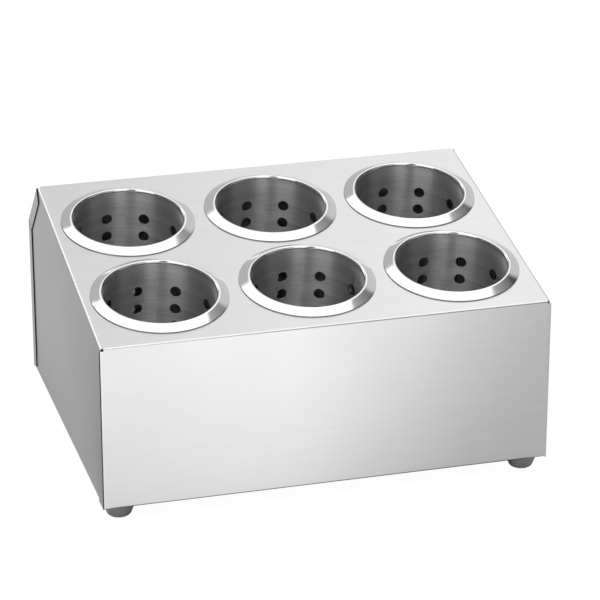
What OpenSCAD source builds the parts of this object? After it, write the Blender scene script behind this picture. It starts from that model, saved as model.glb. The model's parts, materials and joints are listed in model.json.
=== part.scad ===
// Counter unit with six lift-out cylinders in a sloping sheet steel housing.
// Millimetres, +Z up, +X right, +Y to the rear, origin on the floor at the middle of the footprint.

/* [Cylinder] */
// Inside diameter of a cylinder
bore_d = 97; // [90:0.5:104]
// Depth of a cylinder below the top plate
cylinder_depth = 137; // [125:1:145]
// Wall thickness of the sleeve and of the base
sleeve_t = 0.8; // [0.6:0.1:1.2]
// Height of the drawn base, up to its weld to the sleeve
base_h = 10; // [9:0.5:16]
// Outer corner radius of the base
base_corner = 8; // [4:0.5:8.5]
// Diameter of the drain holes in the base
drain_d = 8; // [5:0.5:10]
// Diameter of the ring of drain holes
drain_ring_d = 54; // [40:1:66]
// Number of drain holes on the ring
drain_count = 6; // [4:1:10]

/* [Collar] */
// Radial width of the collar
collar_w = 10.25; // [8:0.25:12]
// Height of the collar's lip above the top plate
collar_rise = 4.5; // [4:0.1:6]
// Height of the collar's outer edge above the top plate
collar_edge = 0.9; // [0.6:0.1:1]
// Sheet thickness of the collar
collar_t = 1; // [0.7:0.1:1.2]
// Outer radius of the rolled lip
lip_r = 2; // [1.6:0.1:2.2]
// Straight skirt of the collar, from its lip down to its weld to the sleeve
skirt_len = 0.4; // [0.3:0.1:4]

/* [Perforation] */
// Diameter of the holes in a sleeve
hole_d = 10; // [6:0.5:12]
// Number of hole columns round a sleeve
hole_columns = 9; // [6:1:10]
// Depth of the first row of holes below the top plate
first_row_depth = 24.5; // [18:0.5:30]
// Distance from one row of holes to the next
hole_row_pitch = 17.5; // [15:0.5:24]
// Bare wall kept between the last row of holes and the base
hole_bare_edge = 5; // [3:0.5:12]
// Turn of the first hole column away from the rear, in degrees
hole_phase = 30; // [0:1:60]

/* [Top plate layout] */
// Gap between neighbouring collars in a row
collar_gap_x = 11.5; // [6:0.5:20]
// Gap between the collars of the two rows, along the slope
collar_gap_v = 7; // [4:0.5:20]
// Plate from a collar to the side face
side_margin = 7.25; // [5:0.25:16]
// Plate from the front collars to the front edge, along the slope
front_margin = 12.75; // [8:0.25:20]
// Plate from the rear collars to the ridge, along the slope
rear_margin = 16.25; // [8:0.25:24]
// Fall of the top plate towards the front, in degrees
slope = 10; // [7:0.5:12]

/* [Housing sheet] */
// Height of the front wall
front_h = 146.2; // [138:0.2:160]
// Height of the 45 degree bevel behind the ridge
bevel = 48; // [40:1:56]
// Sheet thickness
sheet = 1; // [0.8:0.1:1.2]
// Inside radius of every fold
fold_r = 1; // [0.8:0.1:1.6]
// Width of the return tabs of the front wall
front_tab = 18; // [12:1:24]
// Fall of the cut at the top of a front tab, across its width
front_tab_fall = 9; // [4:0.5:14]
// Width of the return tabs of the bevel and the back wall
rear_tab = 14; // [10:1:18]
// Fall of the cuts at the ridge end and the bottom end of the rear tabs
rear_tab_fall = 4; // [2:0.5:8]
// Height of the side flaps' lower edge above the bottom of the walls
side_lift = 0.5; // [0.5:0.5:8]
// Flange left beyond the edge of a foot
flange_edge = 4.5; // [3:0.5:8]

/* [Feet] */
// Diameter of a foot under the flange
foot_d = 30; // [26:0.5:31]
// Diameter that the foot's side runs down to
foot_end_d = 19.3; // [18.5:0.1:24]
// Height of a foot
foot_h = 14.2; // [12:0.1:20]
// Radius of the foot's lower edge
foot_round = 4.2; // [2:0.1:4.5]
// Distance of a foot's centre from the side face
foot_inset_x = 16; // [15.5:0.5:24]
// Distance of a foot's centre from the wall
foot_inset_y = 19; // [17:0.5:26]
// Diameter of the screw recess in a foot
recess_d = 10; // [9.5:0.25:11]
// Depth of the screw recess in a foot
recess_depth = 7; // [5.5:0.25:8]
// Thickness of the steel insert washer in a foot
insert_t = 1.2; // [0.8:0.1:1.6]

/* [Fasteners] */
// Diameter of the foot screws
screw_d = 4; // [3:0.5:4]
// Diameter of the screw heads
head_d = 8; // [7:0.25:8.5]
// Height of the screw heads
head_h = 2.6; // [2:0.1:3]
// Diameter of the sphere that rounds off the screw heads
head_dome_d = 12; // [12:0.5:16]
// Length of the arms of the screw heads' cross recess, from tip to tip
drive_len = 4.4; // [3.5:0.1:5]
// Width of the arms of the cross recess
drive_w = 1; // [0.8:0.1:1.4]
// Depth of the cross recess
drive_depth = 1.5; // [1:0.1:1.7]
// Outside diameter of the washers under the nuts
washer_d = 9; // [8:0.5:12]
// Thickness of the washers under the nuts
washer_t = 0.8; // [0.5:0.1:1.2]
// Width of the nuts across their flats
nut_flats = 7; // [6:0.5:8]
// Height of the nuts
nut_h = 3.2; // [2.4:0.1:4]
// Screw end standing past the nut
screw_past_nut = 1.5; // [0.5:0.25:3]

/* [Clearances] */
// Radial gap between a cylinder and its hole in the top plate
hole_gap = 0.5; // [0.3:0.1:1]
// Gap under a collar that rests on the top plate
seat_gap = 0.05; // [0.02:0.01:0.1]
// Gap between a return tab and the side flap under it
lap_gap = 0.1; // [0.05:0.05:0.3]
// Gap between the edges of the sheet where folds meet
edge_gap = 0.3; // [0.2:0.1:1]
// Length of the notch that frees the folds at a corner
relief = 0.6; // [0.4:0.1:1.5]
// Gap between the bevel's tab and the back wall's tab
tab_split = 1.2; // [0.5:0.1:3]
// Radial gap round a screw
screw_gap = 0.25; // [0.1:0.05:0.5]
// Radial gap round the insert washer in its recess
insert_gap = 0.1; // [0.05:0.05:0.3]

/* [Hidden] */
$fn = 96;

brushed = [0.80, 0.80, 0.79];
polished = [0.90, 0.90, 0.91];
rubber = [0.36, 0.37, 0.38];
zinc = [0.70, 0.71, 0.70];

// Cylinder sizes
bore_r = bore_d / 2;
sleeve_r = bore_r + sleeve_t;
collar_d = bore_d + 2 * collar_w;
plate_hole_d = bore_d + 2 * (max(collar_t, sleeve_t) + hole_gap);
weld_z = collar_rise - lip_r - skirt_len;

// The collar's cone leaves the lip in a tangent and comes down to the collar's edge
cone_run = collar_w - lip_r;
cone_fall = collar_rise - lip_r - collar_edge;
collar_angle = atan2(cone_fall, cone_run) + asin(lip_r / norm([cone_run, cone_fall]));

// Layout of the top plate: x from the middle, v along the slope from the front edge
pitch_x = collar_d + collar_gap_x;
front_v = front_margin + collar_d / 2;
rear_v = front_v + collar_d + collar_gap_v;
plate_len = rear_v + collar_d / 2 + rear_margin;
SPOTS = [
  ["front_left", -pitch_x, front_v],
  ["front_center", 0, front_v],
  ["front_right", pitch_x, front_v],
  ["rear_left", -pitch_x, rear_v],
  ["rear_center", 0, rear_v],
  ["rear_right", pitch_x, rear_v]
];

// Housing sizes
body_w = 3 * collar_d + 2 * collar_gap_x + 2 * side_margin;
ridge_y = plate_len * cos(slope);
ridge_h = front_h + plate_len * sin(slope);
body_d = ridge_y + bevel;
flange_w = foot_inset_y + foot_d / 2 + flange_edge;
fold_out = fold_r + sheet;
tab_face_x = body_w / 2 + lap_gap + sheet;
arc_steps = 10;

// Outer face of the folded sheet from the front flange to the rear flange, as [y, z]
WRAP = [
  [flange_w, 0],
  [0, 0],
  [0, front_h],
  [ridge_y, ridge_h],
  [body_d, ridge_h - bevel],
  [body_d, 0],
  [body_d - flange_w, 0]
];
FRONT_WALL = 1;
TOP_PLATE = 2;
BEVEL = 3;
BACK_WALL = 4;
bevel_len = leg_length(WRAP, BEVEL);
back_len = leg_length(WRAP, BACK_WALL);

// Where the walls end at the corners, beside the side folds
front_top = front_h - setback(WRAP, TOP_PLATE, fold_out) - relief;
ridge_end = setback(WRAP, BEVEL, fold_out) + relief;
flap_inset = fold_out + edge_gap;
notch_depth = fold_out + edge_gap / 2;
flange_end = body_w / 2 - sheet - edge_gap;
// The fillings inside the side folds stop this far short of the walls' ends
fold_fill_short = 3 * fold_out;
// Cutters run up to this far past the faces that they cut
reach = 4 * fold_out;

// Foot places and the stack of pieces on each foot's screw
foot_x = body_w / 2 - foot_inset_x;
foot_y = body_d / 2 - foot_inset_y;
FEET = [["front_left", -1, -1], ["front_right", 1, -1], ["rear_left", -1, 1], ["rear_right", 1, 1]];
screw_hole_d = screw_d + 2 * screw_gap;
head_seat_z = recess_depth - insert_t;
washer_z = foot_h + sheet;
nut_z = washer_z + washer_t;

// A folded strip is given by the corner points of its outer face, with the sheet to the right of
// the way from the first point to the last and every fold to the right. Flat i runs from point i,
// and fold i rounds point i.
function leg(points, i) = (points[i + 1] - points[i]) / norm(points[i + 1] - points[i]);
function leg_length(points, i) = norm(points[i + 1] - points[i]);
function inner(points, i) = [leg(points, i)[1], -leg(points, i)[0]];
function turn(points, i) = acos(leg(points, i - 1) * leg(points, i));
function setback(points, i, radius) = radius * tan(turn(points, i) / 2);

// Points of fold i at a given depth below the outer face
function fold_arc(points, i, radius, depth) =
  let (
    center = points[i] - leg(points, i - 1) * setback(points, i, radius) + inner(points, i - 1) * radius,
    from = atan2(-inner(points, i - 1)[1], -inner(points, i - 1)[0])
  )
  [for (k = [0 : arc_steps])
    let (a = from - turn(points, i) * k / arc_steps)
    center + (radius - depth) * [cos(a), sin(a)]];

function strip_face(points, radius, depth) =
  let (last = len(points) - 1)
  [
    points[0] + inner(points, 0) * depth,
    for (i = [1 : last - 1]) each fold_arc(points, i, radius, depth),
    points[last] + inner(points, last - 1) * depth
  ];

function backwards(list) = [for (k = [len(list) - 1 : -1 : 0]) list[k]];

// Whole outline of a folded strip
function strip(points, radius, thickness) =
  concat(strip_face(points, radius, 0), backwards(strip_face(points, radius, thickness)));

// Point a inside the flat before corner i and b inside the flat after it
function corner_inside(points, i, a, b) =
  let (
    n = inner(points, i - 1),
    m = inner(points, i),
    area = n[0] * m[1] - n[1] * m[0]
  )
  points[i] + [a * m[1] - b * n[1], b * n[0] - a * m[0]] / area;

// Point at a distance along flat i and a depth below it
function on_flat(points, i, along, depth) =
  points[i] + leg(points, i) * along + inner(points, i) * depth;

// Draws a [y, z] outline as a slab of width w, centred on x = 0
module slab_x(w) {
  rotate([90, 0, 90]) linear_extrude(w, center = true) children();
}

module both_sides() {
  for (side = [0, 1]) mirror([side, 0, 0]) children();
}

// From the housing's own frame, with y from the front wall and z from the flanges, to the floor
module on_feet() {
  translate([0, -body_d / 2, foot_h]) children();
}

// Frame of the top plate: y along the slope, z out of the plate
module on_plate() {
  on_feet() translate([0, 0, front_h]) rotate([slope, 0, 0]) children();
}

module at_spot(spot) {
  on_plate() translate([spot[1], spot[2], 0]) children();
}

module at_foot(foot) {
  translate([foot[1] * foot_x, foot[2] * foot_y, 0]) children();
}

// Frame of flat i of the wrap: y is the depth below its face, z runs along it
module on_wall(i) {
  face = inner(WRAP, i);
  translate([0, WRAP[i][0], WRAP[i][1]]) rotate([atan2(face[1], face[0]), 0, 0]) children();
}

// Slab on the +X side only, from x outwards
module slab_beyond(x) {
  translate([x + reach, 0, 0]) slab_x(2 * reach) children();
}

// Flanges, walls and top plate in one folded strip, with its corners notched for the side folds
module wrap_sheet() {
  upper = [
    [-reach, front_top],
    [2 * fold_out, front_top],
    on_flat(WRAP, BEVEL, ridge_end, 2 * fold_out),
    on_flat(WRAP, BEVEL, ridge_end, -reach),
    WRAP[BEVEL] + [0, reach],
    [-reach, front_h + reach]
  ];
  front_notch = [
    [-reach, front_top],
    [notch_depth, front_top],
    [notch_depth, front_h + reach],
    [-reach, front_h + reach]
  ];
  ridge_notch = [
    on_flat(WRAP, BEVEL, ridge_end, -reach),
    on_flat(WRAP, BEVEL, ridge_end, notch_depth),
    on_flat(WRAP, BEVEL, -reach, notch_depth),
    on_flat(WRAP, BEVEL, -reach, -reach)
  ];
  lower = [[-reach, -reach], [body_d + reach, -reach], [body_d + reach, fold_out], [-reach, fold_out]];
  difference() {
    slab_x(2 * tab_face_x) polygon(strip(WRAP, fold_out, sheet));
    both_sides() {
      slab_beyond(body_w / 2) polygon(upper);
      slab_beyond(body_w / 2 - fold_out - relief) polygon(front_notch);
      slab_beyond(body_w / 2 - fold_out - relief) polygon(ridge_notch);
      slab_beyond(flange_end) polygon(lower);
    }
  }
}

// Lower ends of the front and back walls on the +X side. They run straight down past the flanges.
module wall_ends() {
  from = flange_end + relief;
  for (y = [0, body_d - sheet])
    translate([from, y, 0]) cube([tab_face_x - from, sheet, 2 * fold_out]);
}

// Side flap on the +X side. Its top runs into the middle of the top plate's sheet.
module side_flap() {
  translate([(body_w - sheet) / 2, 0, 0]) slab_x(sheet) polygon([
    [flap_inset, side_lift],
    corner_inside(WRAP, TOP_PLATE, flap_inset, sheet / 2),
    corner_inside(WRAP, BEVEL, sheet / 2, flap_inset),
    corner_inside(WRAP, BACK_WALL, flap_inset, flap_inset),
    [body_d - flap_inset, side_lift]
  ]);
}

// Return tab along the +X edge of wall i. Its ends lie at from and to along the wall, and the
// falls shorten it there for each millimetre of depth.
module return_tab(i, width, from, from_fall, to, to_fall) {
  root = sheet / 2;
  translate([tab_face_x - sheet / 2, 0, 0]) slab_x(sheet) polygon([
    on_flat(WRAP, i, from + root * from_fall, root),
    on_flat(WRAP, i, to - root * to_fall, root),
    on_flat(WRAP, i, to - width * to_fall, width),
    on_flat(WRAP, i, from + width * from_fall, width)
  ]);
}

module return_tabs() {
  mitre = tan(turn(WRAP, BACK_WALL) / 2);
  return_tab(FRONT_WALL, front_tab, 0, 0, front_top, front_tab_fall / front_tab);
  return_tab(BEVEL, rear_tab, ridge_end, rear_tab_fall / rear_tab, bevel_len - tab_split / 2, mitre);
  return_tab(BACK_WALL, rear_tab, tab_split / 2, mitre, back_len, rear_tab_fall / rear_tab);
}

// Arc of a square fold at a given depth below its outer face, with its corner at [0, 0], the sheet
// towards -x and +y, and its first and last chords run on past the ends of the arc
function side_fold_arc(depth) =
  let (
    r = fold_out - depth,
    arc = [for (k = [0 : arc_steps])
      let (a = 90 * k / arc_steps)
      [r * sin(a) - fold_out, fold_out - r * cos(a)]],
    last = arc_steps
  )
  [
    arc[0] + (arc[0] - arc[1]) / norm(arc[0] - arc[1]) * sheet,
    for (k = [1 : last - 1]) arc[k],
    arc[last] + (arc[last] - arc[last - 1]) / norm(arc[last] - arc[last - 1]) * sheet
  ];

// Places a fold's cross section along the +X edge of wall i, where its face meets x
module along_edge(i, x, from, to) {
  on_wall(i) translate([x, 0, from]) linear_extrude(to - from) children();
}

// Runs each fold along the side edges: x of its corner, and where it starts and ends on its wall
module along_side_edges(shorter) {
  along_edge(TOP_PLATE, body_w / 2, shorter, plate_len - shorter) children();
  along_edge(FRONT_WALL, tab_face_x, shorter, front_h - shorter) children();
  along_edge(BEVEL, tab_face_x, shorter, bevel_len - shorter) children();
  along_edge(BACK_WALL, tab_face_x, shorter, back_len - shorter) children();
}

module outside_of_fold() {
  polygon(concat(side_fold_arc(0), [[reach, -reach]]));
}

module inside_of_fold() {
  polygon(concat(side_fold_arc(sheet), [[-sheet / 2, sheet / 2]]));
}

module housing_shell() {
  color(brushed) difference() {
    on_feet() union() {
      wrap_sheet();
      both_sides() wall_ends();
      both_sides() side_flap();
      both_sides() return_tabs();
      both_sides() along_side_edges(fold_fill_short) inside_of_fold();
    }
    on_feet() both_sides() along_side_edges(0) outside_of_fold();
    for (spot = SPOTS) at_spot(spot) cylinder(d = plate_hole_d, h = reach, center = true);
    for (foot = FEET) at_foot(foot) cylinder(d = screw_hole_d, h = nut_z);
  }
}

// Spun ring: a short skirt, a rolled lip and a cone that comes down on the plate
module collar(spot) {
  crown_z = collar_rise - lip_r + lip_r * tan((90 + collar_angle) / 2);
  profile = [[bore_r, weld_z], [bore_r, crown_z], [bore_r + collar_w, collar_edge]];
  color(polished) at_spot(spot) rotate_extrude() difference() {
    polygon(strip(profile, lip_r, collar_t));
    translate([plate_hole_d / 2, seat_gap - collar_d]) square(collar_d);
  }
}

// Rolled tube between the collar's skirt and the base, with rows of round holes
module sleeve(spot) {
  bottom = cylinder_depth - base_h;
  last_row_depth = bottom - hole_bare_edge - hole_d / 2;
  color(brushed) at_spot(spot) difference() {
    translate([0, 0, -bottom]) cylinder(r = sleeve_r, h = bottom + weld_z);
    translate([0, 0, -bottom - reach]) cylinder(r = bore_r, h = bottom + 2 * reach);
    for (depth = [first_row_depth : hole_row_pitch : last_row_depth])
      for (column = [0 : hole_columns - 1])
        translate([0, 0, -depth]) rotate([-90, 0, -hole_phase - column * 360 / hole_columns])
          translate([0, 0, bore_r - hole_d / 2]) cylinder(d = hole_d, h = hole_d);
  }
}

// Drawn bottom with a rounded corner and drain holes
module base(spot) {
  floor_z = -cylinder_depth;
  profile = [[sleeve_r, floor_z + base_h], [sleeve_r, floor_z], [0, floor_z]];
  color(brushed) at_spot(spot) difference() {
    rotate_extrude() polygon(strip(profile, base_corner, sleeve_t));
    translate([0, 0, floor_z]) cylinder(d = drain_d, h = reach, center = true);
    for (i = [0 : drain_count - 1])
      rotate([0, 0, i * 360 / drain_count]) translate([drain_ring_d / 2, 0, floor_z])
        cylinder(d = drain_d, h = reach, center = true);
  }
}

// Moulded rubber foot with a recess for its screw
module foot(place) {
  lower_edge = [[foot_d / 2, foot_h], [foot_end_d / 2, 0], [recess_d / 2, 0]];
  color(rubber) at_foot(place) rotate_extrude() polygon(concat(
    strip_face(lower_edge, foot_round, 0),
    [
      [recess_d / 2, recess_depth],
      [screw_hole_d / 2, recess_depth],
      [screw_hole_d / 2, foot_h]
    ]
  ));
}

module ring(outer_d, hole_d, height) {
  difference() {
    cylinder(d = outer_d, h = height);
    translate([0, 0, -reach]) cylinder(d = hole_d, h = height + 2 * reach);
  }
}

// Steel washers at the top of the foot recesses, which the screw heads pull on
module foot_insert_washers() {
  color(zinc) for (foot = FEET) at_foot(foot) translate([0, 0, head_seat_z])
    ring(recess_d - 2 * insert_gap, screw_hole_d, insert_t);
}

// Pan head from its rounded end upwards, with a cross recess
module screw_head() {
  difference() {
    intersection() {
      cylinder(d = head_d, h = head_h);
      translate([0, 0, head_dome_d / 2]) sphere(d = head_dome_d);
    }
    for (arm = [0, 90])
      rotate([0, 0, arm]) translate([-drive_len / 2, -drive_w / 2, -reach])
        cube([drive_len, drive_w, reach + drive_depth]);
  }
}

// Pan-head screws, put in from below
module foot_screws() {
  screw_top = nut_z + nut_h + screw_past_nut;
  color(zinc) for (foot = FEET) at_foot(foot) translate([0, 0, head_seat_z]) {
    cylinder(d = screw_d, h = screw_top - head_seat_z);
    translate([0, 0, -head_h]) screw_head();
  }
}

module foot_washers() {
  color(zinc) for (foot = FEET) at_foot(foot) translate([0, 0, washer_z])
    ring(washer_d, screw_hole_d, washer_t);
}

module foot_nuts() {
  across_corners = nut_flats / cos(30);
  color(zinc) for (foot = FEET) at_foot(foot) translate([0, 0, nut_z]) difference() {
    cylinder(d = across_corners, h = nut_h, $fn = 6);
    translate([0, 0, -reach]) cylinder(d = screw_hole_d, h = nut_h + 2 * reach);
  }
}

housing_shell();
for (place = FEET)
  foot(place);
foot_insert_washers();
foot_screws();
foot_washers();
foot_nuts();
for (spot = SPOTS) {
  collar(spot);
  sleeve(spot);
  base(spot);
}
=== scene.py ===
import json
import math

import bmesh
import bpy
from mathutils import Matrix, Vector

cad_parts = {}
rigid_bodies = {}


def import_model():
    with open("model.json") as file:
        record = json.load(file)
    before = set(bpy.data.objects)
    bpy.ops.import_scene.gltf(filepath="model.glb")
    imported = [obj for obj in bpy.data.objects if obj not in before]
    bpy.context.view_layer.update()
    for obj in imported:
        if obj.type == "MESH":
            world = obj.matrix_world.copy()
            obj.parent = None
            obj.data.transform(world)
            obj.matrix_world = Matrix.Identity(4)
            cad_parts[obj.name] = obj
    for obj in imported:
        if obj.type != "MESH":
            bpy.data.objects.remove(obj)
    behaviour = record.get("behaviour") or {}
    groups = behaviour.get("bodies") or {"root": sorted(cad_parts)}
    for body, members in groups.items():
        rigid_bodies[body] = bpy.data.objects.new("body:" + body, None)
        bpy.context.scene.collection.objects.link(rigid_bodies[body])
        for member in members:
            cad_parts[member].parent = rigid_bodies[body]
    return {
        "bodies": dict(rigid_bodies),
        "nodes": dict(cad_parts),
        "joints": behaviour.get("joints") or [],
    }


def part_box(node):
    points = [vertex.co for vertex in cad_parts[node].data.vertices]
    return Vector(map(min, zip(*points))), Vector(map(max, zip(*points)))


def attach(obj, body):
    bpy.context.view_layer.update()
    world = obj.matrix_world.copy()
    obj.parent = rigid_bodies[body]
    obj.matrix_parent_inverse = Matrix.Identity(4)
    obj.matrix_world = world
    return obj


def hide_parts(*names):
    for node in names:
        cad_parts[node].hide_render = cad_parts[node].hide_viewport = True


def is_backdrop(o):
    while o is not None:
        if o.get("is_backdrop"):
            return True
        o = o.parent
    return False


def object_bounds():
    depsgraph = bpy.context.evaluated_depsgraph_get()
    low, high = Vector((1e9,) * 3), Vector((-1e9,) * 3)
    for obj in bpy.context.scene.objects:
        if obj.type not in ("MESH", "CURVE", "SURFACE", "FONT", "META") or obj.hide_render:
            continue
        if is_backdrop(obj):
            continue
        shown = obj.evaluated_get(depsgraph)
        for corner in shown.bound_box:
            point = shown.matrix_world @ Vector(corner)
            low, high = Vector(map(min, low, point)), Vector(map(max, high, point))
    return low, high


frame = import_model()
cad_low, cad_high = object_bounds()


# Housing: one cross-shaped blank of stainless sheet, brushed from side to side before it was folded.
# The sloping top plate, the walls, the side flaps and the bottom flanges are all parts of that blank,
# and the tabs of the walls lap over the outside of the side flaps.
LIFT = Vector(frame["joints"][0]["axis"])
SLOPE = math.atan2(-LIFT.y, LIFT.z)
BEVEL = Vector((0, 1, 1)).normalized()
# The ways that the flat faces look: sides, walls, flanges, the sloping plate and the bevel at the rear
FLAT_WAYS = (Vector((1, 0, 0)), Vector((0, 1, 0)), Vector((0, 0, 1)), LIFT, BEVEL)
WALL_GRAIN = (1, 0, 0, 1)
SIDE_GRAIN = (0, LIFT.y, LIFT.z, 1)
SHEET = 0.001
TAB_DEPTH = 1.05 * SHEET
SIDE_FACING = 0.75
CUT_FACING = 0.4
FLAT_FACING = 0.985
HOUSING_DARK = (0.775, 0.775, 0.77, 1)
HOUSING_LIGHT = (0.825, 0.825, 0.82, 1)
# The dark of the tabs' cut edges: the raw cut steel, with painted shade of the gap between tab and flap
HOUSING_CUT_AND_GAP_SHADE = (0.035, 0.035, 0.035, 1)
HOUSING_ROUGHNESS = (0.30, 0.36)
FOLD_ROUGHNESS = 0.14
HOUSING_ANISOTROPY = 0.7
GRAIN_ALONG = 36
GRAIN_ACROSS = 620
GRAIN_DEPTH = 0.000006
FINE_SCALE = 1.0
BROAD_SCALE = 0.19
BROAD_SHARE = 0.4
LINE_RANGE = (0.3, 0.7)
SMUDGE_SCALE = 9
SMUDGE_ROUGHNESS = (-0.02, 0.02)
CLOUD_RANGE = (0.35, 0.65)


def new_material(name):
    material = bpy.data.materials.new(name)
    material.use_nodes = True
    return material, material.node_tree, material.node_tree.nodes["Principled BSDF"]


def add_node(tree, kind, inputs=None, **settings):
    """Adds a node. Each input is a plain value, or the socket that feeds it."""
    node = tree.nodes.new(kind)
    for name, value in settings.items():
        setattr(node, name, value)
    for name, value in (inputs or {}).items():
        if isinstance(value, bpy.types.NodeSocket):
            tree.links.new(value, node.inputs[name])
        else:
            node.inputs[name].default_value = value
    return node


def calculate(tree, operation, first, second=0.0):
    return add_node(tree, "ShaderNodeMath", {0: first, 1: second}, operation=operation).outputs[0]


def along(tree, vector, way):
    """Share of a vector that runs along a direction."""
    inputs = {0: vector, 1: way}
    return add_node(tree, "ShaderNodeVectorMath", inputs, operation="DOT_PRODUCT").outputs["Value"]


def move_range(tree, value, low, high, from_low=0.0, from_high=1.0, way="LINEAR"):
    """A value moved from one range to another, and held inside it."""
    ends = {"From Min": from_low, "From Max": from_high, "To Min": low, "To Max": high}
    node = add_node(tree, "ShaderNodeMapRange", {"Value": value, **ends}, interpolation_type=way)
    return node.outputs[0]


def mix_values(tree, share, first, second):
    return add_node(tree, "ShaderNodeMix", {0: share, 2: first, 3: second}).outputs[0]


def mix_colors(tree, share, first, second):
    return add_node(tree, "ShaderNodeMix", {0: share, 6: first, 7: second}, data_type="RGBA").outputs[2]


def noise(tree, place, scale, detail=3):
    inputs = {"Vector": place, "Scale": scale, "Detail": detail}
    return add_node(tree, "ShaderNodeTexNoise", inputs).outputs[0]


def add_bump(tree, surface, height, depth, strength=1.0):
    inputs = {"Height": height, "Strength": strength, "Distance": depth}
    tree.links.new(add_node(tree, "ShaderNodeBump", inputs).outputs[0], surface.inputs["Normal"])


# Lines left by a brushing belt: fine lines, with a broader unevenness under them
brush_lines = bpy.data.node_groups.new("brush_lines", "ShaderNodeTree")
brush_lines.interface.new_socket("Place", in_out="INPUT", socket_type="NodeSocketVector")
brush_lines.interface.new_socket("Lines", in_out="OUTPUT", socket_type="NodeSocketFloat")
group_in = add_node(brush_lines, "NodeGroupInput").outputs[0]
fine_lines = noise(brush_lines, group_in, FINE_SCALE)
broad_lines = noise(brush_lines, group_in, BROAD_SCALE, 1)
all_lines = mix_values(brush_lines, BROAD_SHARE, fine_lines, broad_lines)
clear_lines = move_range(brush_lines, all_lines, 0, 1, *LINE_RANGE)
add_node(brush_lines, "NodeGroupOutput", {0: clear_lines})


def lines_on(tree, place, stretch, turned=(0, 0, 0)):
    """Brush lines on coordinates that are turned first and stretched after that."""
    straight = add_node(tree, "ShaderNodeMapping", {"Vector": place, "Rotation": turned}).outputs[0]
    stretched = add_node(tree, "ShaderNodeMapping", {"Vector": straight, "Scale": stretch}).outputs[0]
    group = add_node(tree, "ShaderNodeGroup", node_tree=brush_lines)
    tree.links.new(stretched, group.inputs[0])
    return group.outputs[0]


def clouded_roughness(tree, lines, line_roughness, clouds, cloud_roughness):
    """Roughness that follows the brush lines, and is shifted a little by smudges."""
    brushed = move_range(tree, lines, *line_roughness)
    smudged = move_range(tree, clouds, *cloud_roughness, *CLOUD_RANGE)
    return calculate(tree, "ADD", brushed, smudged)


housing_steel, tree, surface = new_material("housing_steel")
place = add_node(tree, "ShaderNodeTexCoord").outputs["Object"]
facing = add_node(tree, "ShaderNodeNewGeometry").outputs["True Normal"]
facing_x = calculate(tree, "ABSOLUTE", add_node(tree, "ShaderNodeSeparateXYZ", {0: facing}).outputs[0])
place_x = calculate(tree, "ABSOLUTE", add_node(tree, "ShaderNodeSeparateXYZ", {0: place}).outputs[0])
on_side = calculate(tree, "GREATER_THAN", facing_x, SIDE_FACING)
on_tab = calculate(tree, "GREATER_THAN", place_x, cad_high.x - TAB_DEPTH)
wall_lines = lines_on(tree, place, (GRAIN_ALONG, GRAIN_ACROSS, GRAIN_ACROSS))
flap_lines = lines_on(tree, place, (GRAIN_ACROSS, GRAIN_ACROSS, GRAIN_ALONG), (-SLOPE, 0, 0))
tab_lines = lines_on(tree, place, (GRAIN_ACROSS, GRAIN_ALONG, GRAIN_ACROSS))
side_lines = mix_values(tree, on_tab, flap_lines, tab_lines)
lines = mix_values(tree, on_side, wall_lines, side_lines)
smudges = noise(tree, place, SMUDGE_SCALE)
# The cut edges of the wall tabs are darkened: partly the raw cut steel, partly painted shade of the gap
# between each tab and the side flap under it
cut_edge_and_gap_shade = calculate(tree, "MULTIPLY", on_tab, calculate(tree, "LESS_THAN", facing_x, CUT_FACING))
steel_color = mix_colors(tree, lines, HOUSING_DARK, HOUSING_LIGHT)
tree.links.new(mix_colors(tree, cut_edge_and_gap_shade, steel_color, HOUSING_CUT_AND_GAP_SHADE), surface.inputs["Base Color"])
flat_roughness = clouded_roughness(tree, lines, HOUSING_ROUGHNESS, smudges, SMUDGE_ROUGHNESS)
# The press tool burnishes the folds, so they are smoother than the flat faces
flatness = 0.0
for flat_way in FLAT_WAYS:
    likeness = calculate(tree, "ABSOLUTE", along(tree, facing, flat_way))
    flatness = calculate(tree, "MAXIMUM", flatness, likeness)
on_fold = calculate(tree, "LESS_THAN", flatness, FLAT_FACING)
tree.links.new(mix_values(tree, on_fold, flat_roughness, FOLD_ROUGHNESS), surface.inputs["Roughness"])
add_bump(tree, surface, lines, GRAIN_DEPTH)
grain = mix_colors(tree, on_side, WALL_GRAIN, SIDE_GRAIN)
across = add_node(tree, "ShaderNodeVectorMath", {0: facing, 1: grain}, operation="CROSS_PRODUCT").outputs[0]
tree.links.new(across, surface.inputs["Tangent"])
surface.inputs["Metallic"].default_value = 1
surface.inputs["Anisotropic"].default_value = HOUSING_ANISOTROPY

housing = frame["nodes"]["housing_shell"]
housing.data.materials.clear()
housing.data.materials.append(housing_steel)


# Feet: moulded grey rubber buffers with a slight taper and a rounded lower edge.
# A screw in the recess under each one pulls it up against the bottom flange of the housing.
FOOT_R = 0.015
FOOT_END_R = 0.00965
FOOT_ROUND = 0.0042
RECESS_R = 0.005
RECESS_DEPTH = 0.007
SCREW_HOLE_R = 0.00225
FOOT_POINTS = 64
FOOT_ROUND_STEPS = 10
MERGE_GAP = 0.000005
RUBBER_DARK = (0.24, 0.24, 0.24, 1)
RUBBER_LIGHT = (0.36, 0.36, 0.36, 1)
RUBBER_ROUGHNESS = (0.45, 0.62)
SPECKLE_SCALE = 1400
SPECKLE_DEPTH = 0.00008
SPECKLE_STRENGTH = 0.35
BLOOM_SCALE = 160


def start_ring(points, radius, height):
    """Starts a piece with one ring about Z. It is left in edit mode, with the ring selected."""
    bpy.ops.object.select_all(action="DESELECT")
    bpy.ops.mesh.primitive_circle_add(vertices=points, radius=radius, location=(0, 0, height))
    bpy.ops.object.transform_apply(location=True)
    bpy.ops.object.mode_set(mode="EDIT")
    return bpy.context.object


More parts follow.
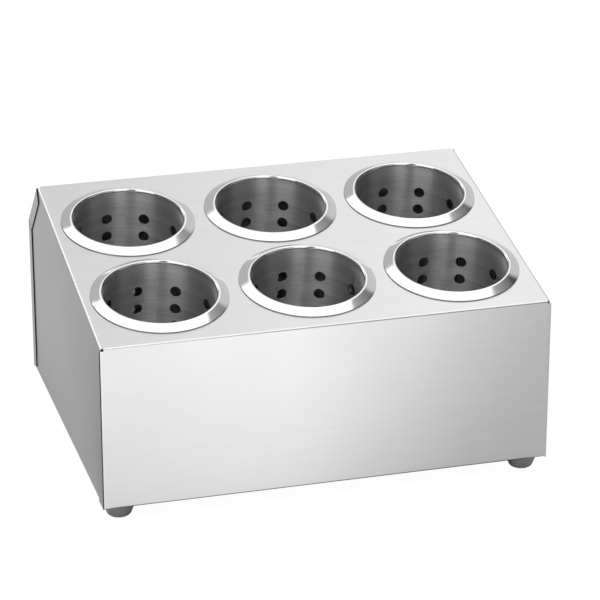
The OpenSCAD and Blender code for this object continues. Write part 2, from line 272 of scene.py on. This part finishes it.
def extrude_ring(radius, next_radius, rise):
    """Extrudes the selected ring to another radius and height."""
    bpy.ops.mesh.extrude_edges_move(TRANSFORM_OT_translate={"value": (0, 0, rise)})
    growth = next_radius / radius
    bpy.ops.transform.resize(value=(growth, growth, 1))


def select_edges(piece, wanted):
    """Selects the edges whose two ends are both wanted, by their place."""
    bpy.ops.mesh.select_mode(type="EDGE")
    bpy.ops.mesh.select_all(action="DESELECT")
    mesh = bmesh.from_edit_mesh(piece.data)
    for edge in mesh.edges:
        edge.select_set(all(wanted(corner.co) for corner in edge.verts))
    mesh.select_flush_mode()
    bmesh.update_edit_mesh(piece.data)


def select_ring(piece, radius, height, slack=0.00005):
    def on_ring(spot):
        return abs(spot.xy.length - radius) < slack and abs(spot.z - height) < slack
    select_edges(piece, on_ring)


def round_ring(piece, radius, height, offset, steps):
    """Rounds the edge of a ring."""
    select_ring(piece, radius, height)
    bpy.ops.mesh.bevel(offset=offset, segments=steps, affect="EDGES", clamp_overlap=False)


def face_out():
    bpy.ops.mesh.select_all(action="SELECT")
    bpy.ops.mesh.remove_doubles(threshold=MERGE_GAP)
    bpy.ops.mesh.normals_make_consistent(inside=False)


def finish_pattern(piece, name, smooth=35):
    if piece.mode == "EDIT":
        bpy.ops.object.mode_set(mode="OBJECT")
    bpy.ops.object.shade_smooth_by_angle(angle=math.radians(smooth))
    piece.name = name


def place_copy(pattern, node, move, material, body):
    """A copy of a pattern piece with its own mesh, moved to its place, that stands for a CAD node."""
    piece = bpy.data.objects.new(node + "_piece", pattern.data.copy())
    piece.data.transform(move)
    piece.data.materials.clear()
    piece.data.materials.append(material)
    bpy.context.scene.collection.objects.link(piece)
    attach(piece, body)
    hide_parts(node)


foot_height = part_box("foot_front_left")[1].z
foot_lean = math.atan2(foot_height, FOOT_R - FOOT_END_R)
foot = start_ring(FOOT_POINTS, SCREW_HOLE_R, foot_height)
extrude_ring(SCREW_HOLE_R, FOOT_R, 0)
extrude_ring(FOOT_R, FOOT_END_R, -foot_height)
extrude_ring(FOOT_END_R, RECESS_R, 0)
extrude_ring(RECESS_R, RECESS_R, RECESS_DEPTH)
extrude_ring(RECESS_R, SCREW_HOLE_R, 0)
extrude_ring(SCREW_HOLE_R, SCREW_HOLE_R, foot_height - RECESS_DEPTH)
face_out()
round_ring(foot, FOOT_END_R, 0, FOOT_ROUND * math.tan(foot_lean / 2), FOOT_ROUND_STEPS)
finish_pattern(foot, "foot")

foot_rubber, tree, surface = new_material("foot_rubber")
place = add_node(tree, "ShaderNodeTexCoord").outputs["Object"]
speckle = noise(tree, place, SPECKLE_SCALE, 4)
bloom = noise(tree, place, BLOOM_SCALE)
tone = mix_values(tree, 0.5, speckle, bloom)
tree.links.new(mix_colors(tree, tone, RUBBER_DARK, RUBBER_LIGHT), surface.inputs["Base Color"])
tree.links.new(move_range(tree, bloom, *RUBBER_ROUGHNESS), surface.inputs["Roughness"])
add_bump(tree, surface, speckle, SPECKLE_DEPTH, SPECKLE_STRENGTH)
for corner in ("front_left", "front_right", "rear_left", "rear_right"):
    low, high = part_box("foot_" + corner)
    move = Matrix.Translation(((low.x + high.x) / 2, (low.y + high.y) / 2, 0))
    place_copy(foot, "foot_" + corner, move, foot_rubber, "housing")
bpy.data.objects.remove(foot)


# Foot fasteners: zinc plated pan-head screws, with an insert washer in the recess of each foot and
# a plain washer and a nut on the upper side of the flange.
ZINC_DARK = (0.56, 0.57, 0.58, 1)
ZINC_LIGHT = (0.72, 0.72, 0.70, 1)
ZINC_ROUGHNESS = (0.25, 0.45)
PLATING_SCALE = 500

fastener_zinc, tree, surface = new_material("fastener_zinc")
place = add_node(tree, "ShaderNodeTexCoord").outputs["Object"]
plating = noise(tree, place, PLATING_SCALE, 4)
tree.links.new(mix_colors(tree, plating, ZINC_DARK, ZINC_LIGHT), surface.inputs["Base Color"])
tree.links.new(move_range(tree, plating, *ZINC_ROUGHNESS), surface.inputs["Roughness"])
surface.inputs["Metallic"].default_value = 1
for name in ("foot_insert_washers", "foot_screws", "foot_washers", "foot_nuts"):
    frame["nodes"][name].data.materials.clear()
    frame["nodes"][name].data.materials.append(fastener_zinc)


# Sleeves: a strip of stainless sheet, punched with rows of round holes, brushed along its length and
# rolled into a tube, so that the brushing runs round the cylinder. The seam is welded and ground flush.
BORE_R = 0.0485
SLEEVE_T = 0.0008
SLEEVE_TOP = 0.0021
SLEEVE_BOTTOM = -0.127
HOLE_R = 0.005
HOLE_COLUMNS = 9
HOLE_ROWS = 6
ROW_PITCH = 0.0175
FIRST_ROW = -0.0245
HOLE_TURN = math.radians(-10)
CELL_SIDE_CUTS = 3
CELL_END_CUTS = 11
BRIDGE_CUTS = 2
SEAM = 0.00001
SLEEVE_DARK = (0.56, 0.56, 0.555, 1)
SLEEVE_LIGHT = (0.84, 0.84, 0.835, 1)
SLEEVE_ROUGHNESS = (0.36, 0.46)
SLEEVE_STAINS = (-0.03, 0.03)
SLEEVE_STAIN_SCALE = 26
SLEEVE_GRAIN = (14, 560, 1)
SLEEVE_GRAIN_DEPTH = 0.000012
SLEEVE_ANISOTROPY = 0.97
QUARTER_TURN = 0.25

roll_r = BORE_R + SLEEVE_T / 2
cell_w = 2 * math.pi * roll_r / HOLE_COLUMNS
hole_points = 2 * (CELL_SIDE_CUTS + CELL_END_CUTS + 2)


def apply_modifier(piece, kind, **settings):
    modifier = piece.modifiers.new(kind, kind)
    for name, value in settings.items():
        setattr(modifier, name, value)
    bpy.ops.object.modifier_apply(modifier=modifier.name)


def thicken(piece, thickness, offset):
    """Gives a sheet its thickness: offset -1 puts it behind the faces, and 0 on both sides."""
    apply_modifier(piece, "SOLIDIFY", thickness=thickness, offset=offset, use_even_offset=True)


def set_uv(piece, name, spot_of):
    """Gives a piece a UV map, from the place of each corner of each face and the middle of that face."""
    layer = piece.data.uv_layers.new(name=name)
    for face in piece.data.polygons:
        for corner in face.loop_indices:
            vertex = piece.data.vertices[piece.data.loops[corner].vertex_index]
            layer.data[corner].uv = spot_of(vertex.co, face.center)


bpy.ops.object.select_all(action="DESELECT")
bpy.ops.mesh.primitive_plane_add(size=1, rotation=(math.pi / 2, 0, 0))
sleeve = bpy.context.object
sleeve.scale = (cell_w, ROW_PITCH, 1)
bpy.ops.object.transform_apply(location=True, rotation=True, scale=True)
bpy.ops.object.mode_set(mode="EDIT")
bpy.ops.mesh.delete(type="ONLY_FACE")
select_edges(sleeve, lambda spot: spot.x > 0)
bpy.ops.mesh.subdivide(number_cuts=CELL_SIDE_CUTS)
select_edges(sleeve, lambda spot: spot.x < 0)
bpy.ops.mesh.subdivide(number_cuts=CELL_SIDE_CUTS)
select_edges(sleeve, lambda spot: spot.z > ROW_PITCH / 2 - SEAM)
bpy.ops.mesh.subdivide(number_cuts=CELL_END_CUTS)
select_edges(sleeve, lambda spot: spot.z < SEAM - ROW_PITCH / 2)
bpy.ops.mesh.subdivide(number_cuts=CELL_END_CUTS)
bpy.ops.mesh.primitive_circle_add(vertices=hole_points, radius=HOLE_R, rotation=(math.pi / 2, 0, 0))
bpy.ops.mesh.select_all(action="SELECT")
bpy.ops.mesh.bridge_edge_loops(number_cuts=BRIDGE_CUTS, interpolation="LINEAR")
bpy.ops.mesh.select_all(action="SELECT")
bpy.ops.transform.translate(value=(-(HOLE_COLUMNS - 1) / 2 * cell_w, 0, FIRST_ROW))
bpy.ops.object.mode_set(mode="OBJECT")
for count, step in ((HOLE_COLUMNS, (cell_w, 0, 0)), (HOLE_ROWS, (0, 0, -ROW_PITCH))):
    apply_modifier(sleeve, "ARRAY", count=count, use_relative_offset=False, use_constant_offset=True,
                   constant_offset_displace=step, use_merge_vertices=True, merge_threshold=SEAM)
first_edge = FIRST_ROW + ROW_PITCH / 2
last_edge = FIRST_ROW - (HOLE_ROWS - 0.5) * ROW_PITCH
bpy.ops.object.mode_set(mode="EDIT")
select_edges(sleeve, lambda spot: spot.z > first_edge - SEAM)
bpy.ops.mesh.extrude_edges_move(TRANSFORM_OT_translate={"value": (0, 0, SLEEVE_TOP - first_edge)})
select_edges(sleeve, lambda spot: spot.z < last_edge + SEAM)
bpy.ops.mesh.extrude_edges_move(TRANSFORM_OT_translate={"value": (0, 0, SLEEVE_BOTTOM - last_edge)})
face_out()
bpy.ops.object.mode_set(mode="OBJECT")
set_uv(sleeve, "flat_sheet", lambda spot, middle: (spot.x, spot.z))
apply_modifier(sleeve, "SIMPLE_DEFORM", deform_method="BEND", deform_axis="Z", angle=2 * math.pi)
sleeve.data.transform(Matrix.Rotation(HOLE_TURN, 4, "Z") @ Matrix.Translation((0, -roll_r, 0)))
bpy.ops.object.mode_set(mode="EDIT")
face_out()
bpy.ops.object.mode_set(mode="OBJECT")
thicken(sleeve, SLEEVE_T, 0)
finish_pattern(sleeve, "sleeve")

cylinder_steel, tree, surface = new_material("cylinder_steel")
place = add_node(tree, "ShaderNodeUVMap", uv_map="flat_sheet").outputs[0]
lines = lines_on(tree, place, SLEEVE_GRAIN)
stains = noise(tree, add_node(tree, "ShaderNodeTexCoord").outputs["Object"], SLEEVE_STAIN_SCALE)
tree.links.new(mix_colors(tree, lines, SLEEVE_DARK, SLEEVE_LIGHT), surface.inputs["Base Color"])
stained_roughness = clouded_roughness(tree, lines, SLEEVE_ROUGHNESS, stains, SLEEVE_STAINS)
tree.links.new(stained_roughness, surface.inputs["Roughness"])
add_bump(tree, surface, lines, SLEEVE_GRAIN_DEPTH)
round_way = add_node(tree, "ShaderNodeTangent", direction_type="UV_MAP", uv_map="flat_sheet").outputs[0]
tree.links.new(round_way, surface.inputs["Tangent"])
surface.inputs["Metallic"].default_value = 1
surface.inputs["Anisotropic"].default_value = SLEEVE_ANISOTROPY
surface.inputs["Anisotropic Rotation"].default_value = QUARTER_TURN

cylinders = {}
for name in frame["bodies"]:
    if name.startswith("cylinder_"):
        spot = name[len("cylinder_"):]
        low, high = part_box("sleeve_" + spot)
        plate = (low + high) / 2 - LIFT * (SLEEVE_TOP + SLEEVE_BOTTOM) / 2
        cylinders[spot] = Matrix.Translation(plate) @ Matrix.Rotation(SLOPE, 4, "X")
for spot, move in cylinders.items():
    place_copy(sleeve, "sleeve_" + spot, move, cylinder_steel, "cylinder_" + spot)
bpy.data.objects.remove(sleeve)


# Bases: a shallow cup drawn from the same stainless sheet, with a rounded corner and drain holes,
# butt welded to the lower end of the sleeve.
BASE_R = 0.0493
BASE_FLOOR = -0.137
BASE_TOP = -0.127
BASE_CORNER = 0.008
BASE_BEVEL = 0.999 * BASE_CORNER
BASE_ROUND_STEPS = 10
DRAIN_R = 0.004
DRAIN_RING_R = 0.027
DRAIN_COUNT = 6
DRAIN_POINTS = 32
BASE_POINTS = 144
BASE_ROUGHNESS = (0.30, 0.38)
BASE_STAINS = (-0.04, 0.04)
BASE_STAIN_SCALE = 40
BASE_GRAIN = (10, 480, 1)
BASE_GRAIN_DEPTH = 0.000006

base = start_ring(BASE_POINTS, BASE_R - BASE_CORNER, BASE_FLOOR)
drains = [(0, 0)]
for k in range(DRAIN_COUNT):
    turn = 2 * math.pi * k / DRAIN_COUNT
    drains.append((DRAIN_RING_R * math.cos(turn), DRAIN_RING_R * math.sin(turn)))
for x, y in drains:
    bpy.ops.mesh.primitive_circle_add(vertices=DRAIN_POINTS, radius=DRAIN_R, location=(x, y, BASE_FLOOR))
bpy.ops.mesh.select_all(action="SELECT")
bpy.ops.mesh.fill(use_beauty=True)
select_ring(base, BASE_R - BASE_CORNER, BASE_FLOOR)
extrude_ring(BASE_R - BASE_CORNER, BASE_R, 0)
extrude_ring(BASE_R, BASE_R, BASE_TOP - BASE_FLOOR)
face_out()
# The bevel stops just short of the ring where the flat floor ends
round_ring(base, BASE_R, BASE_FLOOR, BASE_BEVEL, BASE_ROUND_STEPS)
bpy.ops.object.mode_set(mode="OBJECT")


def face_towards(piece, at, way):
    """Flips a sheet whose face nearest to a point doesn't look along a direction."""
    nearest = min(piece.data.polygons, key=lambda face: (face.center - Vector(at)).length)
    if nearest.normal.dot(Vector(way)) < 0:
        piece.data.flip_normals()


face_towards(base, (DRAIN_RING_R / 2, 0, BASE_FLOOR), (0, 0, -1))
thicken(base, SLEEVE_T, -1)
finish_pattern(base, "base")


def round_and_along(spot, middle):
    """Turn about the axis, and the way along the profile, for patterns that run round a piece."""
    turn = math.atan2(spot.y, spot.x)
    middle_turn = math.atan2(middle.y, middle.x)
    turn -= 2 * math.pi * round((turn - middle_turn) / (2 * math.pi))
    return turn * BORE_R, spot.xy.length - spot.z


set_uv(base, "turned", round_and_along)
base_steel, tree, surface = new_material("base_steel")
place = add_node(tree, "ShaderNodeUVMap", uv_map="turned").outputs[0]
rings = lines_on(tree, place, BASE_GRAIN)
stains = noise(tree, add_node(tree, "ShaderNodeTexCoord").outputs["Object"], BASE_STAIN_SCALE)
tree.links.new(mix_colors(tree, rings, SLEEVE_DARK, SLEEVE_LIGHT), surface.inputs["Base Color"])
stained_roughness = clouded_roughness(tree, rings, BASE_ROUGHNESS, stains, BASE_STAINS)
tree.links.new(stained_roughness, surface.inputs["Roughness"])
add_bump(tree, surface, rings, BASE_GRAIN_DEPTH)
surface.inputs["Metallic"].default_value = 1
for spot, move in cylinders.items():
    place_copy(base, "base_" + spot, move, base_steel, "cylinder_" + spot)
bpy.data.objects.remove(base)


# Collars: rings spun from thicker stainless sheet and mirror polished on the lathe. A short skirt is
# butt welded to the sleeve, the lip is rolled over, and the cone hangs the cylinder on the plate.
COLLAR_W = 0.01025
COLLAR_T = 0.001
LIP_R = 0.002
LIP_Z = 0.0045
COLLAR_EDGE = 0.0009
SEAT_GAP = 0.00005
COLLAR_POINTS = 192
LIP_STEPS = 12
COLLAR_SMOOTH = 40
COLLAR_DARK = (0.86, 0.86, 0.865, 1)
COLLAR_LIGHT = (0.92, 0.92, 0.925, 1)
# The dark of the rim's cut edge: the raw cut steel, with painted shade of the seat gap under it
COLLAR_CUT_AND_GAP_SHADE = (0.42, 0.42, 0.42, 1)
COLLAR_ROUGHNESS = (0.06, 0.12)
COLLAR_HAZE = (-0.02, 0.02)
COLLAR_HAZE_SCALE = 45
COLLAR_CUT_ROUGHNESS = 0.5
COLLAR_GRAIN = (6, 900, 1)
COLLAR_GRAIN_DEPTH = 0.000002

cone_run = COLLAR_W - LIP_R
cone_fall = LIP_Z - LIP_R - COLLAR_EDGE
cone_slope = math.atan2(cone_fall, cone_run) + math.asin(LIP_R / math.hypot(cone_run, cone_fall))
lip_setback = LIP_R * math.tan((math.pi / 2 + cone_slope) / 2)
crown_z = LIP_Z - LIP_R + lip_setback
collar_r = BORE_R + COLLAR_W
collar = start_ring(COLLAR_POINTS, BORE_R, SLEEVE_TOP)
extrude_ring(BORE_R, BORE_R, crown_z - SLEEVE_TOP)
extrude_ring(BORE_R, collar_r, COLLAR_EDGE - crown_z)
face_out()
round_ring(collar, BORE_R, crown_z, lip_setback, LIP_STEPS)
bpy.ops.object.mode_set(mode="OBJECT")
face_towards(collar, (collar_r - LIP_R, 0, LIP_Z), (0, 0, 1))
thicken(collar, COLLAR_T, -1)
# The underside of the rim is lifted to a hair above the plate it rests on
for vertex in collar.data.vertices:
    if vertex.co.xy.length > BORE_R + 2 * COLLAR_T:
        vertex.co.z = max(vertex.co.z, SEAT_GAP)
finish_pattern(collar, "collar", COLLAR_SMOOTH)
set_uv(collar, "turned", round_and_along)

collar_polished, tree, surface = new_material("collar_polished")
place = add_node(tree, "ShaderNodeUVMap", uv_map="turned").outputs[0]
rings = lines_on(tree, place, COLLAR_GRAIN)
haze = noise(tree, add_node(tree, "ShaderNodeTexCoord").outputs["Object"], COLLAR_HAZE_SCALE)
along_profile = add_node(tree, "ShaderNodeSeparateXYZ", {0: place}).outputs[1]
# The outer cut edge of the rim is darker and rougher: partly the raw cut steel, partly painted shade of the
# narrow gap where the rim sits on the plate
cut_edge_and_gap_shade = calculate(tree, "GREATER_THAN", along_profile, collar_r - COLLAR_EDGE + SEAM)
polish_color = mix_colors(tree, rings, COLLAR_DARK, COLLAR_LIGHT)
tree.links.new(mix_colors(tree, cut_edge_and_gap_shade, polish_color, COLLAR_CUT_AND_GAP_SHADE), surface.inputs["Base Color"])
polish_roughness = clouded_roughness(tree, rings, COLLAR_ROUGHNESS, haze, COLLAR_HAZE)
collar_roughness = mix_values(tree, cut_edge_and_gap_shade, polish_roughness, COLLAR_CUT_ROUGHNESS)
tree.links.new(collar_roughness, surface.inputs["Roughness"])
add_bump(tree, surface, rings, COLLAR_GRAIN_DEPTH)
surface.inputs["Metallic"].default_value = 1
for spot, move in cylinders.items():
    place_copy(collar, "collar_" + spot, move, collar_polished, "cylinder_" + spot)
bpy.data.objects.remove(collar)


# Camera: a long lens on a stand, at the front left of the unit and above it, looking down on the plate.
# Its place and its lens were fitted to the corners of the housing in the photograph.
CAMERA_PLACE = (-0.61936, -2.30307, 1.10165)
CAMERA_TURN = (67.632, 0, -15.459)
CAMERA_LENS = 174.7
CAMERA_SENSOR = 36

camera = bpy.data.cameras.new("camera")
camera.lens = CAMERA_LENS
camera.sensor_width = CAMERA_SENSOR
camera_stand = bpy.data.objects.new("camera", camera)
camera_stand.location = CAMERA_PLACE
camera_stand.rotation_euler = [math.radians(turn) for turn in CAMERA_TURN]
bpy.context.scene.collection.objects.link(camera_stand)
bpy.context.scene.camera = camera_stand


# Studio: a pale floor in a dim room, with a long softbox overhead in line with the camera, softboxes in
# front of the unit with a gap for the camera, a lit wall behind and a tall softbox at the rear left.
# The world holds these lights, and the floor holds what the steel mirrors of it.
FLOOR_SIZE = 14
FLOOR_COLOR = (0.9, 0.9, 0.9, 1)
FLOOR_WHITE = 1.08
SHADOW_SHARE = 0.10
REAR_FLOOR_LIGHT = (0.54, 0.28)
REAR_FLOOR_Y = (-0.15, 0.15)
LEFT_FLOOR_LIGHT = (0.64, 0.44)
LEFT_FLOOR_X = (-0.33, -0.21)
LEFT_FLOOR_EDGE = (-0.20, -0.19)
FRONT_FLOOR_LIGHT = (1.40, 1.01)
FRONT_FLOOR_Y = (-0.55, -0.20)
FRONT_FLOOR_SHARE = (0.90, 1)
FRONT_FLOOR_X = (-0.18, 0.0)
FRONT_FLOOR_SLANT = 0.53
FRONT_FLOOR_EDGE = (-0.19, 0.075)
FRONT_FLOOR_END = (-0.17, -0.10)
WEDGE_SPREAD = (-0.5, 1.3)
WEDGE_SOFT = 0.3
WEDGE_NEAR = 0.004
WEDGE_EDGE = (-0.21, -0.20)
WEDGE_LIGHT = 0.02
UNDER_X = 0.190
UNDER_Y = 0.166
UNDER_SOFT = 0.012
UNDER_LIGHT = 0.0


def between(tree, value, low, high, soft):
    """1 where a value lies between two limits, with soft edges."""
    risen = move_range(tree, value, 0, 1, low - soft, low + soft, "SMOOTHSTEP")
    fallen = move_range(tree, value, 1, 0, high - soft, high + soft, "SMOOTHSTEP")
    return calculate(tree, "MULTIPLY", risen, fallen)


scene = bpy.context.scene
scene.view_settings.view_transform = "Standard"
bpy.ops.object.select_all(action="DESELECT")
bpy.ops.mesh.primitive_plane_add(size=FLOOR_SIZE)
floor = bpy.context.object
floor.name = "floor"
floor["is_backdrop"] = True
floor_paint = bpy.data.materials.new("floor_paint")
floor_paint.use_nodes = True
tree = floor_paint.node_tree
tree.nodes.clear()
place = add_node(tree, "ShaderNodeTexCoord").outputs["Object"]
floor_xyz = add_node(tree, "ShaderNodeSeparateXYZ", {0: place}).outputs
floor_x, floor_y = floor_xyz[0], floor_xyz[1]
rays = add_node(tree, "ShaderNodeLightPath").outputs
paint = add_node(tree, "ShaderNodeBsdfDiffuse", {"Color": FLOOR_COLOR}).outputs[0]
white = add_node(tree, "ShaderNodeEmission", {"Color": (1, 1, 1, 1), "Strength": FLOOR_WHITE}).outputs[0]

# What the steel mirrors of the floor: a bright stretch in front, a grey one at the left and one behind
front_light = move_range(tree, floor_y, *FRONT_FLOOR_LIGHT, *FRONT_FLOOR_Y)
front_share = move_range(tree, floor_x, *FRONT_FLOOR_SHARE, *FRONT_FLOOR_X)
front_light = calculate(tree, "MULTIPLY", front_light, front_share)
slanted = calculate(tree, "ADD", floor_x, calculate(tree, "MULTIPLY", floor_y, FRONT_FLOOR_SLANT))
left_of_edge = move_range(tree, slanted, 1, 0, *FRONT_FLOOR_EDGE, "SMOOTHSTEP")
before_end = move_range(tree, floor_y, 1, 0, *FRONT_FLOOR_END, "SMOOTHSTEP")
in_front = calculate(tree, "MULTIPLY", left_of_edge, before_end)
left_light = move_range(tree, floor_x, *LEFT_FLOOR_LIGHT, *LEFT_FLOOR_X)
rear_light = move_range(tree, floor_y, *REAR_FLOOR_LIGHT, *REAR_FLOOR_Y)
on_left = move_range(tree, floor_x, 1, 0, *LEFT_FLOOR_EDGE)
lit = mix_values(tree, in_front, mix_values(tree, on_left, rear_light, left_light), front_light)

# Painted shadow of the unit in what the steel mirrors of the floor: a dark wedge at the left of the front
# left corner, and no light under the unit
left_of_corner = calculate(tree, "MAXIMUM", calculate(tree, "SUBTRACT", cad_low.x, floor_x), WEDGE_NEAR)
behind_corner = calculate(tree, "SUBTRACT", floor_y, cad_low.y)
wedge_spread = calculate(tree, "DIVIDE", behind_corner, left_of_corner)
in_wedge = between(tree, wedge_spread, *WEDGE_SPREAD, WEDGE_SOFT)
in_wedge = calculate(tree, "MULTIPLY", in_wedge, move_range(tree, floor_x, 1, 0, *WEDGE_EDGE))
lit = mix_values(tree, in_wedge, lit, WEDGE_LIGHT)
under_x = between(tree, floor_x, -UNDER_X, UNDER_X, UNDER_SOFT)
under_y = between(tree, floor_y, -UNDER_Y, UNDER_Y, UNDER_SOFT)
lit = mix_values(tree, calculate(tree, "MULTIPLY", under_x, under_y), lit, UNDER_LIGHT)
mirrored = add_node(tree, "ShaderNodeEmission", {"Strength": lit}).outputs[0]

# The camera sees a white floor that keeps a share of the paint, and with it the shadow of the unit
seen = calculate(tree, "MAXIMUM", rays["Is Camera Ray"], rays["Is Transmission Ray"])
white_share = calculate(tree, "MULTIPLY", seen, 1 - SHADOW_SHARE)
seen_floor = add_node(tree, "ShaderNodeMixShader", {0: white_share, 1: paint, 2: white}).outputs[0]
floor_shaders = {0: rays["Is Glossy Ray"], 1: seen_floor, 2: mirrored}
floor_look = add_node(tree, "ShaderNodeMixShader", floor_shaders).outputs[0]
add_node(tree, "ShaderNodeOutputMaterial", {0: floor_look})
floor.data.materials.append(floor_paint)

ROOM_LIGHT = (0.20, 0.06)
ROOM_ASIDE = (-0.2, 0.2)
REAR_WALL_LIGHT = (0.60, 0.76)
REAR_WALL_X = (-0.05, 0.50)
REAR_WALL_LEAN = 0.5
REAR_WALL_LEFT = (math.radians(-23), math.radians(-17))
REAR_WALL_RIGHT = (math.radians(38), math.radians(44))
FRONT_RIGHT_TURN = (math.radians(95), math.radians(200))
FRONT_RIGHT_SOFT = 0.1
FRONT_RIGHT_LIGHT = 0.38
FRONT_BOX_ASIDE = (-1.1, 0.56)
FRONT_BOX_SOFT = 0.03
FRONT_BOX_LIGHT = 1.25
SOFTBOX_ASIDE = (-0.69, 0.58)
SOFTBOX_SOFT = 0.02
SOFTBOX_FRONT = (-1.34, -1.22)
SOFTBOX_REAR = (1.44, 1.60)
SOFTBOX_SLANT = 0.9
SOFTBOX_LIGHT = (0.87, 1.52)
SOFTBOX_RIGHT = (-0.045, 0.13)
SOFTBOX_LEFT = (-0.30, -0.18)
SOFTBOX_EVEN = (0.40, 0.70)
FLAG_ASIDE = (SOFTBOX_ASIDE[1], 0.87)
FLAG_AHEAD = (0.9, 1.1)
FLAG_LIGHT = (0.50, 0.16)
CAMERA_GAP_ASIDE = (-0.17, 0.10)
CAMERA_GAP_AHEAD = (-0.5, -0.3)
CAMERA_GAP_LIGHT = 0.05
TALL_BOX_TURN = (math.radians(-55), math.radians(-38))
TALL_BOX_SOFT = 0.03
TALL_BOX_TOP = (0.66, 0.71)
TALL_BOX_LIGHT = 1.7
BACKGROUND_WHITE = 1.0
LEAST_DIVISOR = 0.02

world = bpy.data.worlds.new("studio")
scene.world = world
world.use_nodes = True
tree = world.node_tree
tree.nodes.clear()

# Ways into the room, measured from the line that the camera looks along
way = add_node(tree, "ShaderNodeTexCoord").outputs["Generated"]
camera_turn = camera_stand.rotation_euler.z
ahead = Vector((-math.sin(camera_turn), math.cos(camera_turn), 0))
aside = Vector((ahead.y, -ahead.x, 0))
way_up = along(tree, way, (0, 0, 1))
way_aside = along(tree, way, aside)
way_ahead = along(tree, way, ahead)
turned = calculate(tree, "ARCTAN2", way_aside, way_ahead)
lifted = calculate(tree, "MAXIMUM", way_up, LEAST_DIVISOR)
over_aside = calculate(tree, "DIVIDE", way_aside, lifted)
over_ahead = calculate(tree, "DIVIDE", way_ahead, lifted)
nearing = calculate(tree, "MAXIMUM", calculate(tree, "MULTIPLY", way_ahead, -1), LEAST_DIVISOR)
front_aside = calculate(tree, "DIVIDE", way_aside, nearing)

# The dim room, the lit wall behind the unit and a grey screen at the front right
room_light = move_range(tree, way_aside, *ROOM_LIGHT, *ROOM_ASIDE)
wall_light = move_range(tree, along(tree, way, (1, 0, 0)), *REAR_WALL_LIGHT, *REAR_WALL_X)
leaning = calculate(tree, "ADD", turned, calculate(tree, "MULTIPLY", way_up, REAR_WALL_LEAN))
right_of_end = move_range(tree, leaning, 0, 1, *REAR_WALL_LEFT, "SMOOTHSTEP")
left_of_end = move_range(tree, turned, 1, 0, *REAR_WALL_RIGHT, "SMOOTHSTEP")
on_wall = calculate(tree, "MULTIPLY", right_of_end, left_of_end)
light = mix_values(tree, on_wall, room_light, wall_light)
on_screen = between(tree, turned, *FRONT_RIGHT_TURN, FRONT_RIGHT_SOFT)
light = mix_values(tree, on_screen, light, FRONT_RIGHT_LIGHT)
in_front_box = between(tree, front_aside, *FRONT_BOX_ASIDE, FRONT_BOX_SOFT)
light = mix_values(tree, in_front_box, light, FRONT_BOX_LIGHT)

# The softbox overhead: its far part is brighter at the sides than in the middle, and a dark flag runs along
# its right edge
on_flag = between(tree, over_aside, *FLAG_ASIDE, SOFTBOX_SOFT)
on_flag = calculate(tree, "MULTIPLY", on_flag, move_range(tree, over_ahead, 1, 0, *FLAG_AHEAD))
flag_light = move_range(tree, over_aside, *FLAG_LIGHT, *FLAG_ASIDE)
light = mix_values(tree, on_flag, light, flag_light)
box_aside = between(tree, over_aside, *SOFTBOX_ASIDE, SOFTBOX_SOFT)
box_front = move_range(tree, over_ahead, 0, 1, *SOFTBOX_FRONT)
slanted = calculate(tree, "SUBTRACT", over_ahead, calculate(tree, "MULTIPLY", over_aside, SOFTBOX_SLANT))
box_rear = move_range(tree, slanted, 1, 0, *SOFTBOX_REAR)
in_box = calculate(tree, "MULTIPLY", box_aside, calculate(tree, "MULTIPLY", box_front, box_rear))
box_right = move_range(tree, over_aside, *SOFTBOX_LIGHT, *SOFTBOX_RIGHT)
box_left = move_range(tree, over_aside, *reversed(SOFTBOX_LIGHT), *SOFTBOX_LEFT)
uneven_light = calculate(tree, "MAXIMUM", box_left, box_right)
uneven_share = move_range(tree, over_ahead, 0, 1, *SOFTBOX_EVEN)
box_light = mix_values(tree, uneven_share, SOFTBOX_LIGHT[1], uneven_light)
light = mix_values(tree, in_box, light, box_light)

# The gap for the camera, and the tall softbox that draws the bright lines on the folds
in_gap = between(tree, front_aside, *CAMERA_GAP_ASIDE, SOFTBOX_SOFT)
in_gap = calculate(tree, "MULTIPLY", in_gap, move_range(tree, over_ahead, 1, 0, *CAMERA_GAP_AHEAD))
light = mix_values(tree, in_gap, light, CAMERA_GAP_LIGHT)
in_tall_box = between(tree, turned, *TALL_BOX_TURN, TALL_BOX_SOFT)
in_tall_box = calculate(tree, "MULTIPLY", in_tall_box, move_range(tree, way_up, 1, 0, *TALL_BOX_TOP))
light = mix_values(tree, in_tall_box, light, TALL_BOX_LIGHT)
seen = add_node(tree, "ShaderNodeLightPath").outputs["Is Camera Ray"]
strength = mix_values(tree, seen, light, BACKGROUND_WHITE)
background = add_node(tree, "ShaderNodeBackground", {"Strength": strength}).outputs[0]
add_node(tree, "ShaderNodeOutputWorld", {0: background})

low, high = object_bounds()
